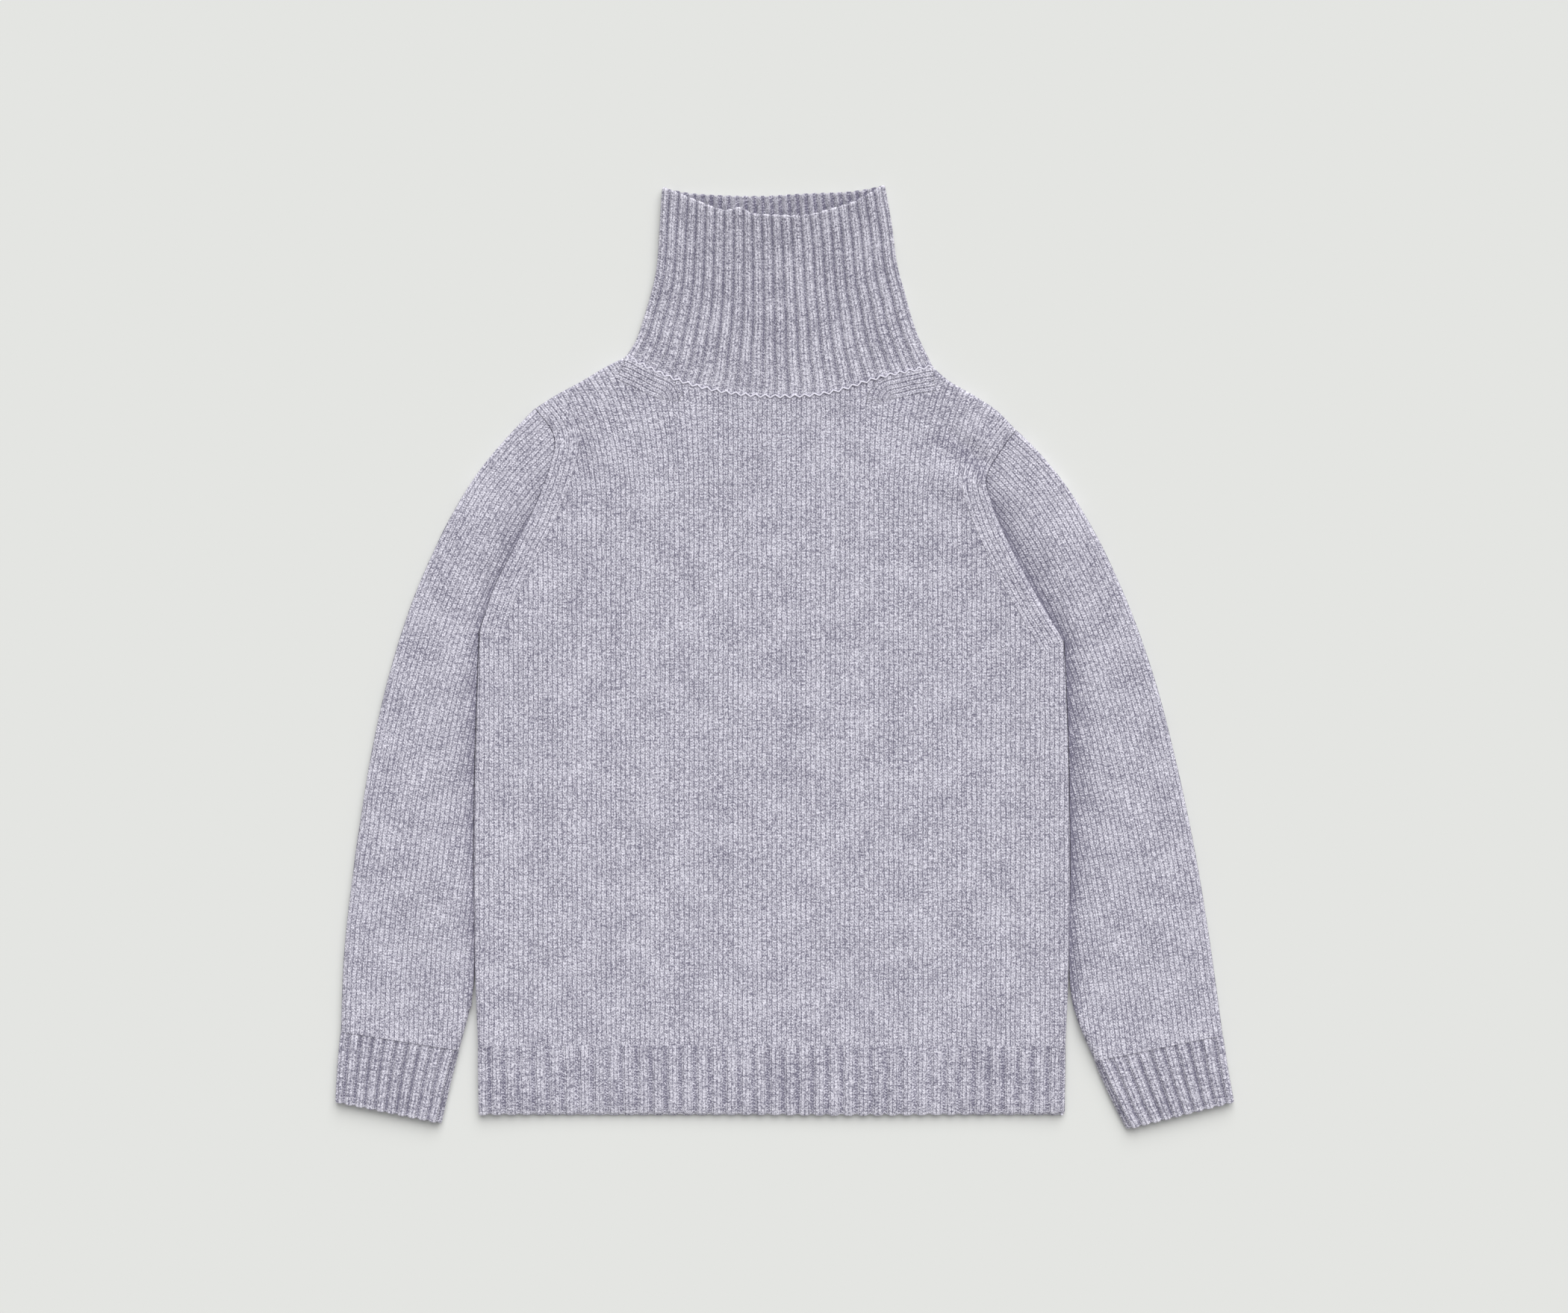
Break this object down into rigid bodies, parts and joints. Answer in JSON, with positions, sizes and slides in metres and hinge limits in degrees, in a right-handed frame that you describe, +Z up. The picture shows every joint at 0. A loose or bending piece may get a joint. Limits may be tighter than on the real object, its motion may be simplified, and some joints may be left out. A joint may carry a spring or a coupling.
{
  "type": "turtleneck sweater",
  "caption": "Long-sleeved wool turtleneck sweater, laid flat on its back, with a tall ribbed collar, ribbed cuffs and a ribbed hem.",
  "frame": {"origin": "centre of the sweater's footprint, on the surface it lies on", "axes": "+X to the wearer's left, +Y from the hem to the neck, +Z up, away from the surface"},
  "size_m": [0.7632, 0.802, 0.0102],
  "materials": {
    "plain_knit": "soft melange stocking stitch in light grey with a cool lilac cast, matt and slightly brushed",
    "rib_knit": "the same yarn knitted as a two by two rib, matt"
  },
  "bodies": {
    "root": {"front_panel": "plain_knit", "back_panel": "plain_knit", "front_hem_rib": "rib_knit", "back_hem_rib": "rib_knit", "right_sleeve": "plain_knit", "right_cuff": "rib_knit", "left_sleeve": "plain_knit", "left_cuff": "rib_knit", "collar": "rib_knit"}
  },
  "joints": []
}
